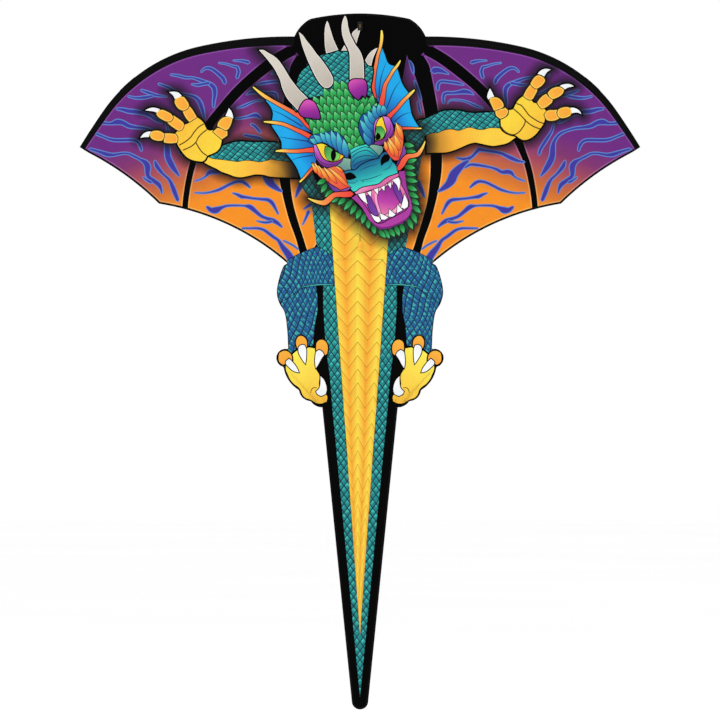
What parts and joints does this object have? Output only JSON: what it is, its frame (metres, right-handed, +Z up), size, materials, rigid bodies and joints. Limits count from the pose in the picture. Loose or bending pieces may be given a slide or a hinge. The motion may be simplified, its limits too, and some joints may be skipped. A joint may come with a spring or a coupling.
{
  "type": "kite",
  "caption": "Large printed dragon kite with bat wings, legs and a long tapered tail, rods in sleeves along its spine and leading edges, and a spreader behind the sail.",
  "frame": {"origin": "centre of the upper bridle eyelet, on the kite's centre line", "axes": "+Z up towards the nose, +Y from the printed front to the back, +X along the right wing as seen from the front"},
  "size_m": [1.4504, 0.0952, 1.7945],
  "materials": {
    "printed_sail": "printed ripstop cloth",
    "black_cloth": "ripstop cloth, doubled and stitched",
    "webbing": "woven webbing",
    "glass_fibre_rod": "pultruded glass fibre, satin black",
    "vinyl": "soft vinyl, satin",
    "ferrule_metal": "drawn tube",
    "eyelet_brass": "pressed, bright"
  },
  "bodies": {
    "root": {"spine_rod_upper": "glass_fibre_rod", "spine_rod_lower": "glass_fibre_rod", "spine_ferrule": "ferrule_metal", "spine_caps": "vinyl", "spine_sleeve_upper": "black_cloth", "spine_sleeve_lower": "black_cloth", "nose_pocket": "webbing", "tail_pocket": "webbing", "centre_joiner": "vinyl", "bridle_tab_upper": "webbing", "bridle_tab_lower": "webbing", "bridle_eyelet_upper": "eyelet_brass", "bridle_eyelet_lower": "eyelet_brass", "spine_strip": "printed_sail", "lower_body_panel": "printed_sail"},
    "wing_left": {"torso_panel_left": "printed_sail", "inner_wing_panel_left": "printed_sail", "outer_wing_panel_left": "printed_sail", "leading_edge_sleeve_left": "black_cloth", "leading_edge_rod_left": "glass_fibre_rod", "edge_rod_cap_left": "vinyl", "wing_tip_patch_left": "black_cloth", "trailing_edge_tape_left": "black_cloth", "spreader_rod_left": "glass_fibre_rod", "spreader_fitting_left": "vinyl", "stop_clips_left": "vinyl"},
    "wing_right": {"torso_panel_right": "printed_sail", "inner_wing_panel_right": "printed_sail", "outer_wing_panel_right": "printed_sail", "leading_edge_sleeve_right": "black_cloth", "leading_edge_rod_right": "glass_fibre_rod", "edge_rod_cap_right": "vinyl", "wing_tip_patch_right": "black_cloth", "trailing_edge_tape_right": "black_cloth", "spreader_rod_right": "glass_fibre_rod", "spreader_fitting_right": "vinyl", "stop_clips_right": "vinyl"},
    "tail_1": {"tail_panel_1": "printed_sail"},
    "tail_2": {"tail_panel_2": "printed_sail"},
    "tail_3": {"tail_panel_3": "printed_sail"},
    "tail_4": {"tail_panel_4": "printed_sail"}
  },
  "joints": [
    {"name": "wing_left_fold", "type": "hinge", "parent": "root", "child": "wing_left", "pos_m": [-0.008, 0.02, -0.15], "axis": [0, 0, -1], "range_deg": [-5, 55], "stiffness_Nm_per_rad": 0.4, "deforming": ["centre_joiner"]},
    {"name": "wing_right_fold", "type": "hinge", "parent": "root", "child": "wing_right", "pos_m": [0.008, 0.02, -0.15], "axis": [0, 0, 1], "range_deg": [-5, 55], "stiffness_Nm_per_rad": 0.4, "deforming": ["centre_joiner"]},
    {"name": "tail_1_hinge", "type": "hinge", "parent": "root", "child": "tail_1", "pos_m": [0, 0.0143, -0.9836], "axis": [1, 0, 0], "range_deg": [-40, 40]},
    {"name": "tail_2_hinge", "type": "hinge", "parent": "tail_1", "child": "tail_2", "pos_m": [0, 0.0143, -1.17835], "axis": [1, 0, 0], "range_deg": [-40, 40]},
    {"name": "tail_3_hinge", "type": "hinge", "parent": "tail_2", "child": "tail_3", "pos_m": [0, 0.0143, -1.3731], "axis": [1, 0, 0], "range_deg": [-40, 40]},
    {"name": "tail_4_hinge", "type": "hinge", "parent": "tail_3", "child": "tail_4", "pos_m": [0, 0.0143, -1.56785], "axis": [1, 0, 0], "range_deg": [-40, 40]}
  ]
}
